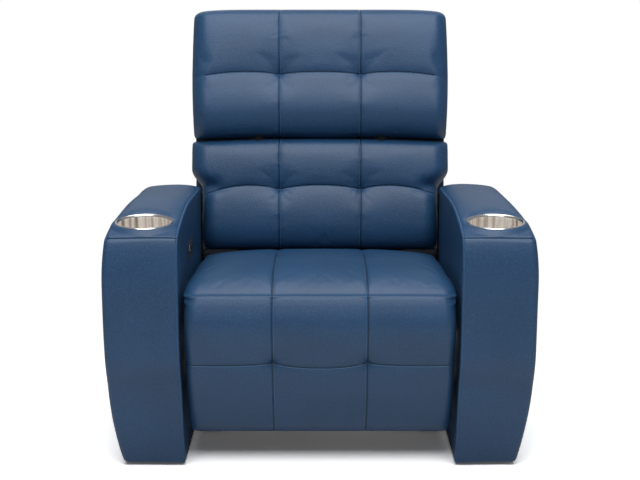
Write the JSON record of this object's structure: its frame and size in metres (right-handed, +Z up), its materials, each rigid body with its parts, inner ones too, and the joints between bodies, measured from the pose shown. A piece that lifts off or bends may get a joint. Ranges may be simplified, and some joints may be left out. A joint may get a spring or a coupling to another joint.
{
  "type": "cinema recliner seat",
  "caption": "Leather cinema recliner seat with a rising footrest, a reclining back, a tilting headrest, cup holders and a button panel.",
  "frame": {"origin": "on the floor, at the centre of the four floor bolts", "axes": "+Z up, -Y the way the sitter faces, +X to the right in the front view"},
  "size_m": [0.91, 0.7824, 0.9588],
  "materials": {
    "leather": "blue grained leather, satin",
    "rear_leather": "blue grained leather, satin",
    "plywood": "raw birch plywood",
    "brushed_steel": "brushed stainless steel",
    "black_plastic": "fine textured black plastic",
    "nylon": "black nylon",
    "webbing": "woven elastic webbing",
    "zinc_steel": "zinc plated steel",
    "painted_steel": "black powder coat"
  },
  "bodies": {
    "base": {"left_arm_cover": "leather", "right_arm_cover": "leather", "left_arm_frame": "plywood", "right_arm_frame": "plywood", "left_cup_holder": "brushed_steel", "right_cup_holder": "brushed_steel", "control_panel": "black_plastic", "charging_port": "brushed_steel", "floor_glides": "nylon", "left_floor_rail": "painted_steel", "right_floor_rail": "painted_steel", "left_side_plate": "painted_steel", "right_side_plate": "painted_steel", "front_cross_tube": "painted_steel", "rear_cross_tube": "painted_steel", "seat_front_rail": "plywood", "seat_rear_rail": "plywood", "left_seat_rail": "plywood", "right_seat_rail": "plywood", "seat_webbing": "webbing", "seat_cushion": "leather", "front_lip_plate": "painted_steel", "arm_bolts": "zinc_steel", "arm_spacers": "painted_steel", "recline_pins": "zinc_steel", "recline_bushes": "nylon", "power_supply": "black_plastic", "power_inlet": "zinc_steel", "footrest_actuator": "painted_steel", "recline_actuator": "painted_steel", "actuator_saddles": "painted_steel"},
    "open_button": {"open_button": "brushed_steel"},
    "close_button": {"close_button": "brushed_steel"},
    "footrest_rod": {"footrest_rod": "zinc_steel"},
    "recline_rod": {"recline_rod": "zinc_steel"},
    "footrest": {"footrest_board": "plywood", "footrest_pad": "leather", "footrest_hinge_leaf": "painted_steel", "footrest_hinge_pin": "zinc_steel", "footrest_lever": "painted_steel", "footrest_lever_pin": "zinc_steel"},
    "back": {"back_board": "plywood", "lumbar_cushion": "leather", "back_cover": "rear_leather", "recline_brackets": "painted_steel", "recline_lever": "painted_steel", "recline_lever_pin": "zinc_steel", "headrest_arms": "painted_steel"},
    "headrest": {"headrest_board": "plywood", "headrest_cushion": "leather", "headrest_cover": "rear_leather", "headrest_brackets": "painted_steel", "headrest_pins": "zinc_steel"}
  },
  "joints": [
    {"name": "footrest_raise", "type": "hinge", "parent": "base", "child": "footrest", "pos_m": [0, -0.524, 0.394], "axis": [-1, 0, 0], "range_deg": [0, 96]},
    {"name": "footrest_rod_slide", "type": "slide", "parent": "base", "child": "footrest_rod", "axis": [0, -1, 0], "range_m": [0, 0.29776]},
    {"name": "back_recline", "type": "hinge", "parent": "base", "child": "back", "pos_m": [0, 0.08531, 0.33026], "axis": [-1, 0, 0], "range_deg": [0, 35]},
    {"name": "recline_rod_slide", "type": "slide", "parent": "base", "child": "recline_rod", "axis": [0, -1, 0], "range_m": [0, 0.07868]},
    {"name": "headrest_tilt", "type": "hinge", "parent": "back", "child": "headrest", "pos_m": [0, 0.08232, 0.66791], "axis": [1, 0, 0], "range_deg": [0, 25]},
    {"name": "open_button_press", "type": "slide", "parent": "base", "child": "open_button", "axis": [-1, 0, 0], "range_m": [0, 0.0015], "stiffness_N_per_m": 400},
    {"name": "close_button_press", "type": "slide", "parent": "base", "child": "close_button", "axis": [-1, 0, 0], "range_m": [0, 0.0015], "stiffness_N_per_m": 400}
  ],
  "couplings": [
    {"joint": "footrest_rod_slide", "follows": "footrest_raise", "m_per_rad": 0.17741},
    {"joint": "recline_rod_slide", "follows": "back_recline", "m_per_rad": 0.12799}
  ]
}
